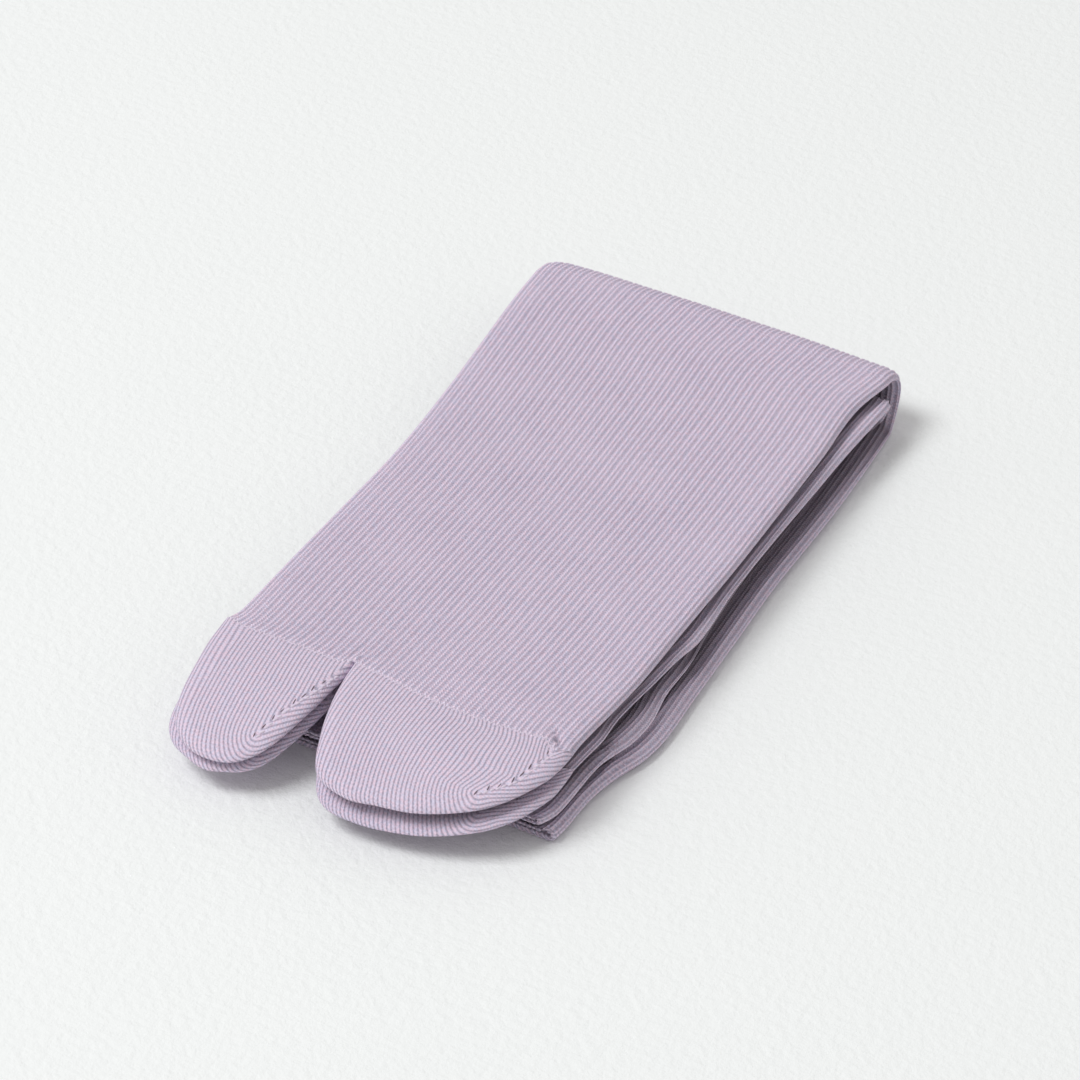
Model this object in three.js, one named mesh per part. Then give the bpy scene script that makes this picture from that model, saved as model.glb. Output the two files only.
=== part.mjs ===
// A pair of split-toe socks, laid one in the other and folded in half. Millimetres, +Z up.
// +Y runs from the toes to the fold, +X from the big toe to the little toe, and the floor is z = 0.
import * as THREE from "three";

// Driving dimensions.
const PLY = 1.85; // one wall of knit, a little loose
const HALF_TUBE = PLY; // half the thickness of a flattened tube of two walls
const SEAM_GAP = 0.3; // between two pieces that are joined
const MIDDLE = { x: -0.143, y: 62.488 }; // the middle of the pair, in the tables' own x and y
const SEAM_Y = -3.5; // the toe seam
const SKEW = -0.07; // the pair is folded a little out of square: y falls by this much for each mm of x
const BOW = 1.1; // the fold stands this much prouder in its middle than at its ends
const BOW_START = 90; // and the bow grows from here to the fold
const CUFF_LENGTH = 27; // the welt at the top of the leg
const CUFF_SLIT = 0.7; // height of the mouth, between the two walls of the welt
const EDGE_STEPS = 4; // faces round the fold at each side of a flattened tube
const FLAT_STEPS = 4; // faces across its top and its bottom
const TURN_STEPS = 10; // stations round the heel fold
const STATION_STEP = 7; // spacing of the other stations
const POCKET_STEP = 3.2; // spacing of the rings of a toe pocket

const LILAC = 0xc5b9cb;
const LILAC_TOES = 0xccbdcf;

// The outer sock has its foot on top and its leg on the floor. The inner sock lies between them.
// foot and leg are the heights of the middle of each flattened tube.
const OUTER = {
  name: "outer",
  foot: 14.95,
  leg: 1.85,
  fold: 149.2,
  cuffEnd: -14.9,
  // Side edges from the toe seam to the fold (foot) and back to the cuff (leg), x from the middle of the width.
  footEdges: [
    { y: -4, left: -46.4, right: 40.6 },
    { y: 1, left: -45.2, right: 40.6 },
    { y: 14, left: -44.8, right: 41.8 },
    { y: 25, left: -44.6, right: 42.6 },
    { y: 45, left: -44.0, right: 42.9 },
    { y: 70, left: -43.5, right: 43.4 },
    { y: 96, left: -44.8, right: 43.3 },
    { y: 116, left: -46.5, right: 43.1 },
    { y: 136, left: -48.3, right: 42.4 },
    { y: 149.2, left: -48.9, right: 44.6 },
  ],
  legEdges: [
    { y: -16, left: -42.4, right: 42.2 },
    { y: -11, left: -42.6, right: 42.9 },
    { y: 0, left: -42.8, right: 43.3 },
    { y: 9, left: -42.6, right: 45.0 },
    { y: 17, left: -42.2, right: 47.6 },
    { y: 25, left: -42.0, right: 48.6 },
    { y: 40, left: -42.2, right: 48.1 },
    { y: 65, left: -42.6, right: 47.4 },
    { y: 84, left: -42.8, right: 46.8 },
    { y: 112, left: -43.6, right: 47.2 },
    { y: 130, left: -45.0, right: 46.9 },
    { y: 149.2, left: -46.5, right: 46.0 },
  ],
  // Droop of the toes: height of each pocket's middle, by distance forward of the seam.
  heights: [
    { forward: 0, bigToe: 14.95, toes: 14.95 },
    { forward: 8, bigToe: 14.75, toes: 14.85 },
    { forward: 15, bigToe: 14.1, toes: 14.4 },
    { forward: 23, bigToe: 12.4, toes: 13.1 },
    { forward: 29, bigToe: 10.7, toes: 11.7 },
    { forward: 35, bigToe: 8.9, toes: 10.2 },
  ],
  // Outline of the big-toe pocket, by distance forward of the seam.
  bigToe: [
    { forward: 0, left: -46.4, right: -14.3 },
    { forward: 6, left: -45.9, right: -14.3 },
    { forward: 14, left: -44.8, right: -15.1 },
    { forward: 22, left: -43.7, right: -17.1 },
    { forward: 27.5, left: -42.0, right: -19.3 },
    { forward: 31, left: -39.4, right: -22.0 },
    { forward: 33.3, left: -35.6, right: -25.4 },
  ],
};
const INNER = {
  name: "inner",
  foot: 10.95,
  leg: 5.85,
  fold: 146.2,
  cuffEnd: -16.5,
  footEdges: [
    { y: -4, left: -43.6, right: 42.0 },
    { y: 8, left: -43.4, right: 42.0 },
    { y: 16, left: -43.4, right: 41.6 },
    { y: 31, left: -43.0, right: 43.1 },
    { y: 40, left: -43.0, right: 44.0 },
    { y: 48, left: -43.2, right: 45.3 },
    { y: 68, left: -43.4, right: 44.3 },
    { y: 88, left: -43.6, right: 44.3 },
    { y: 107, left: -44.0, right: 44.7 },
    { y: 126, left: -45.0, right: 45.0 },
    { y: 146.2, left: -46.0, right: 45.5 },
  ],
  legEdges: [
    { y: -17, left: -41.6, right: 39.6 },
    { y: -12, left: -41.8, right: 41.5 },
    { y: 6, left: -42.2, right: 42.2 },
    { y: 15, left: -42.4, right: 44.8 },
    { y: 24, left: -42.6, right: 45.6 },
    { y: 34, left: -42.6, right: 44.2 },
    { y: 46, left: -42.4, right: 44.4 },
    { y: 60, left: -42.4, right: 43.2 },
    { y: 100, left: -43.2, right: 42.6 },
    { y: 130, left: -44.2, right: 43.4 },
    { y: 146.2, left: -45.0, right: 44.6 },
  ],
  heights: [
    { forward: 0, bigToe: 10.95, toes: 10.95 },
    { forward: 8, bigToe: 10.8, toes: 10.8 },
    { forward: 15, bigToe: 10.15, toes: 10.15 },
    { forward: 23, bigToe: 8.6, toes: 8.4 },
    { forward: 29, bigToe: 7.2, toes: 6.4 },
    { forward: 35, bigToe: 5.8, toes: 4.3 },
  ],
  bigToe: [
    { forward: 0, left: -45.9, right: -14.3 },
    { forward: 6, left: -45.9, right: -14.3 },
    { forward: 14, left: -45.6, right: -15.1 },
    { forward: 22, left: -45.2, right: -17.1 },
    { forward: 27.5, left: -43.8, right: -19.3 },
    { forward: 31, left: -40.8, right: -22.3 },
    { forward: 32.8, left: -36.8, right: -26.0 },
  ],
};

// Outline of the four-toe pocket, the same on both socks.
const FOUR_TOES = [
  { forward: 0, left: -13.6, right: 41.2 },
  { forward: 5, left: -13.4, right: 40.5 },
  { forward: 10, left: -12.6, right: 39.4 },
  { forward: 17, left: -10.9, right: 35.9 },
  { forward: 22.5, left: -9.1, right: 31.2 },
  { forward: 26.5, left: -7.5, right: 25.0 },
  { forward: 29.6, left: -5.2, right: 17.6 },
  { forward: 31.2, left: -1.6, right: 9.0 },
];
const TIP_THINNING = 0.7; // a pocket's thickness at its last ring, as a share of the tube's
const TIP_REACH = 0.9; // how far the closed end stands beyond its last ring

// The value in one column of a table, at a place along another, eased so that it has no corners.
function columnAt(rows, key, column, place) {
  if (place <= rows[0][key]) return rows[0][column];
  const last = rows.length - 1;
  if (place >= rows[last][key]) return rows[last][column];
  const after = rows.findIndex((row) => row[key] > place);
  const slopeAt = (i) => {
    const a = rows[Math.max(i - 1, 0)];
    const b = rows[Math.min(i + 1, last)];
    return (b[column] - a[column]) / (b[key] - a[key]);
  };
  const from = rows[after - 1];
  const to = rows[after];
  const span = to[key] - from[key];
  const t = (place - from[key]) / span;
  const rise = to[column] - from[column];
  const ease = t * t * (3 - 2 * t);
  const start = slopeAt(after - 1) * span * t * (1 - t) * (1 - t);
  const end = slopeAt(after) * span * t * t * (t - 1);
  return from[column] + rise * ease + start + end;
}

// One station of a folded sock: where the middle of the tube is, which way its outer wall faces,
// and how far its side edges reach. along runs from y = 0 on the foot, over the fold, to the cuff.
function stationAt(sock, along) {
  const radius = (sock.foot - sock.leg) / 2;
  const turnLength = Math.PI * radius;
  if (along <= sock.fold) {
    return {
      y: along,
      z: sock.foot,
      normalY: 0,
      normalZ: 1,
      left: columnAt(sock.footEdges, "y", "left", along),
      right: columnAt(sock.footEdges, "y", "right", along),
    };
  }
  if (along < sock.fold + turnLength) {
    const share = (along - sock.fold) / turnLength;
    const angle = Math.PI * share;
    const foot = sock.footEdges[sock.footEdges.length - 1];
    const leg = sock.legEdges[sock.legEdges.length - 1];
    return {
      y: sock.fold + radius * Math.sin(angle),
      z: sock.leg + radius + radius * Math.cos(angle),
      normalY: Math.sin(angle),
      normalZ: Math.cos(angle),
      left: THREE.MathUtils.lerp(foot.left, leg.left, share),
      right: THREE.MathUtils.lerp(foot.right, leg.right, share),
    };
  }
  const y = 2 * sock.fold + turnLength - along;
  return {
    y,
    z: sock.leg,
    normalY: 0,
    normalZ: -1,
    left: columnAt(sock.legEdges, "y", "left", y),
    right: columnAt(sock.legEdges, "y", "right", y),
  };
}

// How much further back a point lies because the fold bows.
function bowAt(x, y) {
  const reach = THREE.MathUtils.smoothstep(y, BOW_START, OUTER.fold);
  return BOW * reach * (1 - (x / OUTER.footEdges[0].left) ** 2);
}

// The ring of a flattened tube at one station: round edges of radius half, flat above and below.
function ringAt(station, half, inset = 0) {
  const left = station.left + inset;
  const right = station.right - inset;
  const flat = [];
  for (let i = 0; i <= EDGE_STEPS; i++) {
    const angle = Math.PI * (i / EDGE_STEPS - 0.5);
    flat.push([right - half + half * Math.cos(angle), half * Math.sin(angle)]);
  }
  for (let i = 1; i < FLAT_STEPS; i++) {
    flat.push([THREE.MathUtils.lerp(right - half, left + half, i / FLAT_STEPS), half]);
  }
  for (let i = 0; i <= EDGE_STEPS; i++) {
    const angle = Math.PI * (i / EDGE_STEPS + 0.5);
    flat.push([left + half + half * Math.cos(angle), half * Math.sin(angle)]);
  }
  for (let i = 1; i < FLAT_STEPS; i++) {
    flat.push([THREE.MathUtils.lerp(left + half, right - half, i / FLAT_STEPS), -half]);
  }
  return flat.map(
    ([x, lift]) =>
      new THREE.Vector3(
        x - MIDDLE.x,
        station.y + lift * station.normalY + SKEW * x + bowAt(x, station.y) - MIDDLE.y,
        station.z + lift * station.normalZ,
      ),
  );
}

// A closed skin over a row of rings. Where the row is a loop its last ring joins its first,
// and otherwise each end is closed by a fan from a point.
function skinOver(rings, { loop = false, startPoint, endPoint } = {}) {
  const count = rings[0].length;
  const points = rings.flat();
  const triangles = [];
  const bands = loop ? rings.length : rings.length - 1;
  for (let r = 0; r < bands; r++) {
    const here = r * count;
    const next = ((r + 1) % rings.length) * count;
    for (let i = 0; i < count; i++) {
      const j = (i + 1) % count;
      triangles.push(here + i, next + i, next + j, here + i, next + j, here + j);
    }
  }
  if (!loop) {
    const start = points.push(startPoint) - 1;
    const end = points.push(endPoint) - 1;
    const lastRing = (rings.length - 1) * count;
    for (let i = 0; i < count; i++) {
      const j = (i + 1) % count;
      triangles.push(start, i, j, end, lastRing + j, lastRing + i);
    }
  }
  const geometry = new THREE.BufferGeometry();
  geometry.setAttribute(
    "position",
    new THREE.Float32BufferAttribute(points.flatMap((p) => p.toArray()), 3),
  );
  geometry.setIndex(triangles);
  geometry.computeVertexNormals();
  return geometry;
}

function middleOf(ring) {
  const sum = ring.reduce((total, p) => total.add(p), new THREE.Vector3());
  return sum.divideScalar(ring.length);
}

function alongOfLeg(sock, y) {
  const turnLength = (Math.PI * (sock.foot - sock.leg)) / 2;
  return 2 * sock.fold + turnLength - y;
}

// Evenly spaced places from one to another, both included.
function places(from, to, step) {
  const count = Math.max(1, Math.round(Math.abs(to - from) / step));
  return Array.from({ length: count + 1 }, (_, i) => from + ((to - from) * i) / count);
}

// The foot and leg of a sock: one ribbed tube, folded at the heel.
function bodyGeometry(sock) {
  const start = SEAM_Y + SEAM_GAP / 2;
  const turnEnd = alongOfLeg(sock, sock.fold);
  const end = alongOfLeg(sock, sock.cuffEnd + CUFF_LENGTH + SEAM_GAP / 2);
  const turnStep = (turnEnd - sock.fold) / TURN_STEPS;
  const stops = [
    ...places(start, sock.fold, STATION_STEP),
    ...places(sock.fold, turnEnd, turnStep).slice(1),
    ...places(turnEnd, end, STATION_STEP).slice(1),
  ];
  const rings = stops.map((along) => ringAt(stationAt(sock, along), HALF_TUBE));
  return skinOver(rings, {
    startPoint: middleOf(rings[0]),
    endPoint: middleOf(rings[rings.length - 1]),
  });
}

// The welt at the top of the leg: a flattened ring with an open mouth.
function cuffGeometry(sock) {
  const from = alongOfLeg(sock, sock.cuffEnd + CUFF_LENGTH - SEAM_GAP / 2);
  const to = alongOfLeg(sock, sock.cuffEnd);
  const stops = places(from, to, STATION_STEP);
  const outside = stops.map((along) => ringAt(stationAt(sock, along), HALF_TUBE));
  const inset = HALF_TUBE - CUFF_SLIT / 2;
  const inside = stops.map((along) => ringAt(stationAt(sock, along), CUFF_SLIT / 2, inset));
  return skinOver([...outside, ...inside.reverse()], { loop: true });
}

// A toe pocket: rings from the seam to a closed, rounded tip.
function pocketGeometry(sock, outline, toe) {
  const lastForward = outline[outline.length - 1].forward;
  const stops = places(lastForward, SEAM_GAP / 2, POCKET_STEP);
  const stationOf = (forward) => ({
    y: SEAM_Y - forward,
    z: columnAt(sock.heights, "forward", toe, forward),
    normalY: 0,
    normalZ: 1,
    left: columnAt(outline, "forward", "left", forward),
    right: columnAt(outline, "forward", "right", forward),
  });
  const rings = stops.map((forward) => {
    const thinning = 1 - (1 - TIP_THINNING) * (forward / lastForward) ** 3;
    return ringAt(stationOf(forward), HALF_TUBE * thinning);
  });
  const tip = middleOf(rings[0]);
  tip.y -= TIP_REACH;
  return skinOver(rings, { startPoint: tip, endPoint: middleOf(rings[rings.length - 1]) });
}

function piece(name, geometry, color) {
  const material = new THREE.MeshStandardMaterial({ color, roughness: 0.95, metalness: 0 });
  const mesh = new THREE.Mesh(geometry, material);
  mesh.name = name;
  return mesh;
}

function sockGroup(sock) {
  const group = new THREE.Group();
  group.add(piece(sock.name + "_body", bodyGeometry(sock), LILAC));
  group.add(piece(sock.name + "_big_toe", pocketGeometry(sock, sock.bigToe, "bigToe"), LILAC_TOES));
  group.add(piece(sock.name + "_toes", pocketGeometry(sock, FOUR_TOES, "toes"), LILAC_TOES));
  group.add(piece(sock.name + "_cuff", cuffGeometry(sock), LILAC));
  return group;
}

const pair = new THREE.Group();
pair.add(sockGroup(OUTER));
pair.add(sockGroup(INNER));

export default pair;
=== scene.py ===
# %% [markdown]
# # A pair of split-toe socks, folded and laid flat
# The two socks lie on each other and are folded in half together at the heel, so the inner one lies
# inside the outer one's fold. Each sock is four knitted pieces: a ribbed tube for foot and leg, a
# big-toe pocket, a four-toe pocket and a welt at the top.
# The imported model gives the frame, and every piece here is built in its place in that frame.

import math

import bpy
import numpy as np
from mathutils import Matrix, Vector


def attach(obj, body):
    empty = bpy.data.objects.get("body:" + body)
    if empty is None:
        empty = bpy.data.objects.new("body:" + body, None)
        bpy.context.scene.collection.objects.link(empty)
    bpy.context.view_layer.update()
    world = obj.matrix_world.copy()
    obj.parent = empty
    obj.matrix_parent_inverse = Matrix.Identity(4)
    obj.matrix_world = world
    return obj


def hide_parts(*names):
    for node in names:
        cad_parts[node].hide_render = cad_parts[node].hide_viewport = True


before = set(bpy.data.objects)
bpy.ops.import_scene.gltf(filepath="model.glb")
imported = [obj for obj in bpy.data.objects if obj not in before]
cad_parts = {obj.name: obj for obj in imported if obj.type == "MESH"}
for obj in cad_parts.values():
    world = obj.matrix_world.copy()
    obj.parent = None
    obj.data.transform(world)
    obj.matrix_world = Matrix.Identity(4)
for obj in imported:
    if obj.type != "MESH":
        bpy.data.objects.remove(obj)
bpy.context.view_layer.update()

# %% [markdown]
# ## The pattern of the pair
# A folded tube is given by its path and by how far its two side edges reach. The path starts at the toe
# seam, runs back along the foot, turns over at the heel and runs forward again along the leg. Tables of
# a few places, eased into each other, keep the slightly wavy edges of soft cloth. Sizes are millimetres
# here, because a knitter thinks in them, and become metres where a mesh is made.

# %% Sizes and tables
HALF = 1.85  # half the thickness of a flattened tube
SLIT = 0.2  # half the space left between its two walls
SEAM_Y = -3.5  # the toe seam
LINING_INSET = 1.5  # how far inside a piece's sides its inner face stops
MIDDLE_X, MIDDLE_Y = -0.143, 62.488  # the middle of the pair in the tables' own x and y
SKEW = -0.07  # the fold is a little out of square
LEANING = 0.22  # the heel fold leans back at the top
BOW, BOW_START, BOW_END, BOW_HALF = 1.1, 90.0, 149.2, 46.4
RIBS = 36  # ribs across one wall of the tube
RIB = 2.45  # width of a rib
CUFF = 27.0  # length of the welt

# foot and leg are the heights of the middle of each flattened tube, and fold is where it starts to turn.
# Rows of edges are y, left edge and right edge. Rows of a pocket are the distance forward of the seam,
# left edge and right edge.
OUTER = dict(
    name="outer", foot=14.95, leg=1.85, fold=149.2, cuff_end=-14.9,
    foot_edges=[(-4, -46.4, 40.6), (1, -45.2, 40.6), (14, -44.8, 41.8), (25, -44.6, 42.6), (45, -44.0, 42.9),
                (70, -43.5, 43.4), (96, -44.8, 43.3), (116, -46.5, 43.1), (136, -48.3, 42.4),
                (149.2, -48.9, 44.6)],
    leg_edges=[(-16, -42.4, 42.2), (-11, -42.6, 42.9), (0, -42.8, 43.3), (9, -42.6, 45.0), (17, -42.2, 47.6),
               (25, -42.0, 48.6), (40, -42.2, 48.1), (65, -42.6, 47.4), (84, -42.8, 46.8), (112, -43.6, 47.2),
               (130, -45.0, 46.9), (149.2, -46.5, 46.0)],
    # forward of the seam: height of the big toe, height of the four toes
    heights=[(0, 14.95, 14.95), (8, 14.75, 14.85), (15, 14.1, 14.4), (23, 12.4, 13.1), (29, 10.7, 11.7),
             (35, 8.9, 10.2)],
    big_toe=[(0, -46.4, -13.8), (3, -46.2, -13.8), (7, -45.8, -14.3), (14, -44.8, -15.1), (22, -43.7, -17.1),
             (27.5, -42.0, -19.3), (31, -39.4, -22.0), (33.3, -35.6, -25.4)],
)
INNER = dict(
    name="inner", foot=10.95, leg=5.85, fold=146.2, cuff_end=-16.5,
    foot_edges=[(-4, -45.8, 40.7), (2, -44.9, 41.3), (8, -43.9, 41.9), (16, -43.4, 41.6), (31, -43.0, 43.1),
                (40, -43.0, 44.0), (48, -43.2, 45.3), (68, -43.4, 44.3), (88, -43.6, 44.4),
                (107, -44.0, 44.9), (126, -45.0, 45.4), (146.2, -46.0, 46.6)],
    leg_edges=[(-17, -41.6, 39.6), (-12, -41.8, 41.5), (6, -42.2, 42.2), (15, -42.4, 44.8), (24, -42.6, 45.6),
               (34, -42.6, 44.2), (46, -42.4, 44.2), (60, -42.4, 42.6), (100, -43.2, 41.0), (130, -44.2, 41.4),
               (146.2, -45.0, 44.0)],
    heights=[(0, 10.95, 10.95), (8, 10.8, 10.8), (15, 10.15, 10.15), (23, 8.6, 8.4), (29, 7.2, 6.4),
             (35, 5.8, 4.3)],
    big_toe=[(0, -45.9, -14.3), (6, -45.9, -14.3), (14, -45.6, -15.1), (22, -45.2, -17.1),
             (27.5, -43.8, -19.3), (31, -40.8, -22.3), (32.8, -36.8, -26.0)],
)
FOUR_TOES = [(0, -13.9, 40.6), (3, -13.8, 40.5), (6, -13.3, 40.2), (10, -12.6, 39.4), (17, -10.9, 35.9),
             (22.5, -9.1, 31.2), (26.5, -7.5, 25.0), (29.6, -5.2, 17.6), (31.2, -1.6, 9.0)]
INNER_TOES = [(0, -13.6, 40.8), (5, -13.4, 41.0), (10, -12.6, 40.6), (17, -10.9, 37.6), (22.5, -9.1, 33.0),
              (26.5, -7.5, 26.7), (29.8, -5.2, 18.7), (31.7, -1.6, 9.6)]

# Where the toe seam really runs: it wanders about its straight line, and puckers at the split.
SEAM_LINE = [(-47, -1.7), (-44, -2.6), (-41, -3.6), (-26, -3.3), (-16.5, -3.4), (-14, -1.9), (-11, -2.5),
             (-7, -2.8), (5, -4.4), (18, -4.9), (30, -4.1), (34, -3.7), (37.5, -6.0), (40, -4.2), (43, -2.6)]


def eased(rows, column, place):
    """The value in one column of a table at a place in its first column, with no corners."""
    table = np.array(rows, float)
    key, value = table[:, 0], table[:, column]
    slope = np.zeros(len(key))
    slope[1:-1] = (value[2:] - value[:-2]) / (key[2:] - key[:-2])
    slope[0] = (value[1] - value[0]) / (key[1] - key[0])
    slope[-1] = (value[-1] - value[-2]) / (key[-1] - key[-2])
    place = np.clip(place, key[0], key[-1])
    i = np.clip(np.searchsorted(key, place, side="right") - 1, 0, len(key) - 2)
    span = key[i + 1] - key[i]
    t = (place - key[i]) / span
    rise = (value[i + 1] - value[i]) * t * t * (3 - 2 * t)
    return value[i] + rise + slope[i] * span * t * (1 - t) ** 2 + slope[i + 1] * span * t * t * (t - 1)


def smooth(low, high, value):
    """0 below low, 1 above high, eased between."""
    t = np.clip((value - low) / (high - low), 0, 1)
    return t * t * (3 - 2 * t)


def run_of(points):
    """Distance along a line of points, from its start."""
    return np.concatenate([[0], np.cumsum(np.linalg.norm(np.diff(points, axis=0), axis=1))])


def in_metres(x, y, z):
    """Points of the tables, in the frame and in metres."""
    bow = BOW * smooth(BOW_START, BOW_END, y) * (1 - (x / BOW_HALF) ** 2)
    return np.stack([x - MIDDLE_X, y + SKEW * x + bow - MIDDLE_Y, z], -1) / 1000


def seam_shift(x):
    """How far the toe seam stands from its straight line."""
    return eased(SEAM_LINE, 1, x) - SEAM_Y


# %% [markdown]
# ## Soft unevenness
# Cloth that has been folded by hand is never quite flat: it keeps long shallow swells. A few sine waves
# of different directions, with a fixed seed, give a smooth field that is the same on every run.

# %% Swells
waves = np.random.RandomState(11)
SWELLS = [(waves.uniform(0, 2 * math.pi), waves.uniform(18, 46), waves.uniform(0, 2 * math.pi))
          for _ in range(9)]


def swell(x, y, seed=0.0):
    """A smooth field between about -1 and 1."""
    total = 0
    for heading, wavelength, phase in SWELLS:
        across = x * math.cos(heading) + y * math.sin(heading)
        total = total + np.sin(2 * math.pi * across / wavelength + phase + seed)
    return total / len(SWELLS) ** 0.5 / 1.4


print("swell over the foot", np.round(swell(np.array([-30.0, 0.0, 30.0]), 50.0), 2))

# %% [markdown]
# ## A flattened tube
# The walls of a knitted tube lie on each other and turn round at the sides in a soft fold. One wall is
# sampled across: a quarter of an ellipse at each side and a level stretch between. The samples are then
# spaced by distance over the cloth, so that the ribs keep their width where the wall turns down.


# %% Section and station
def across_wall(left, right, half, round_left, round_right, shares):
    """x and lift at these shares of the way across one wall, by distance over the cloth."""
    quarter = np.linspace(0, math.pi / 2, 22)
    level = np.linspace(0, 1, 20)[1:-1]
    x = np.concatenate([left + round_left * (1 - np.cos(quarter)),
                        left + round_left + (right - round_right - left - round_left) * level,
                        right - round_right * (1 - np.cos(quarter[::-1]))])
    lift = half * np.concatenate([np.sin(quarter), np.ones(len(level)), np.sin(quarter[::-1])])
    run = run_of(np.column_stack([x, lift]))
    want = np.asarray(shares) * run[-1]
    return np.interp(want, run, x), np.interp(want, run, lift)


def station(sock, along):
    """Middle, facing and side edges of a folded tube, at these distances along it from y = 0."""
    radius = (sock["foot"] - sock["leg"]) / 2
    turn = math.pi * radius
    fold = sock["fold"]
    share = np.clip((along - fold) / turn, 0, 1)
    angle = math.pi * share
    leg_y = 2 * fold + turn - along
    round_y = fold + radius * (np.sin(angle) + LEANING * np.sin(2 * angle))
    y = np.where(along <= fold, along, np.where(share >= 1, leg_y, round_y))
    z = sock["leg"] + radius + radius * np.cos(angle)
    sides = []
    for column in (1, 2):
        on_foot = eased(sock["foot_edges"], column, np.minimum(along, fold))
        on_leg = eased(sock["leg_edges"], column, np.minimum(leg_y, fold))
        sides.append(on_foot * (1 - share) + on_leg * share)
    run_y = np.cos(angle) + 2 * LEANING * np.cos(2 * angle) * np.sin(math.pi * share) ** 0.5
    run_z = -np.sin(angle)
    size = np.hypot(run_y, run_z)
    return dict(y=y, z=z, ny=-run_z / size, nz=run_y / size, left=sides[0], right=sides[1], share=share)


def covers(sock, y):
    """Left and right edges of the layer that lies on a sock's foot or leg, at each y."""
    forward = np.clip(SEAM_Y - y, 0, None)
    edges = []
    for column in (1, 2):
        foot = eased(sock["foot_edges"], column, y)
        toe = eased(sock["big_toe"] if column == 1 else FOUR_TOES, column, forward)
        edges.append(np.where(y > SEAM_Y, foot, toe))
    return edges


def along_leg(sock, y):
    """The distance along the tube of a place on the leg."""
    return 2 * sock["fold"] + math.pi * (sock["foot"] - sock["leg"]) / 2 - y


# %% [markdown]
# ## From rows of points to a double wall
# Each piece is a shell: an outer face that carries the knit and a plainer inner face, joined round the
# open ends. The inner face uses every third point of the outer one, so the joining faces are polygons
# with three short edges on one side and one long edge on the other.

# %% Shell builder
RIB_PLACES = np.array([0, 0.2, 0.47, 0.8, 1.0, 1.22, 1.55, 1.9, 2.24]) / RIB


def rib_columns(edge_ribs):
    """Places across both walls, in ribs: all nine points of every rib on the facing wall, and of the
    first and last few ribs of the other wall, where it shows."""
    facing = [rib + p for rib in range(RIBS) for p in RIB_PLACES]
    hidden = []
    for rib in range(RIBS):
        shown = rib < edge_ribs or rib >= RIBS - edge_ribs
        hidden += [rib + p for p in (RIB_PLACES if shown else RIB_PLACES[::3])]
    walls = [1] * len(facing) + [-1] * len(hidden)
    return np.array(walls), np.array(facing + hidden)


def shell_faces(rows, columns, ids, flip=False):
    """Quads of a grid that closes on itself across, as ids and as (row, column) corners."""
    r, c = np.meshgrid(np.arange(rows - 1), np.arange(columns), indexing="ij")
    corners = [(r, c), (r + 1, c), (r + 1, c + 1), (r, c + 1)]
    if flip:
        corners = corners[::-1]
    quads = np.stack([ids[a, b % columns] for a, b in corners], -1).reshape(-1, 4)
    rows_of = np.stack([a for a, _ in corners], -1).reshape(-1, 4)
    columns_of = np.stack([b for _, b in corners], -1).reshape(-1, 4)
    return quads, rows_of, columns_of


def new_mesh_object(name, points, faces):
    """A smooth-shaded mesh object in the scene."""
    mesh = bpy.data.meshes.new(name)
    mesh.from_pydata([tuple(p) for p in points], [], [tuple(int(i) for i in f) for f in faces])
    mesh.validate()
    mesh.shade_smooth()
    made = bpy.data.objects.new(name, mesh)
    bpy.context.scene.collection.objects.link(made)
    return made


def float_attribute(made, name, values):
    """A number at every point, for nodes to read."""
    layer = made.data.attributes.new(name, "FLOAT", "POINT")
    layer.data.foreach_set("value", np.asarray(values, np.float32))


def volume_of(points, faces):
    """Signed volume: negative where the faces point inwards."""
    total = 0.0
    by_size = {}
    for face in faces:
        by_size.setdefault(len(face), []).append(face)
    for size, group in by_size.items():
        corner = points[np.array(group)]
        for k in range(1, size - 1):
            total += np.einsum("ij,ij->i", corner[:, 0], np.cross(corner[:, k], corner[:, k + 1])).sum() / 6
    return total


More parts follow.
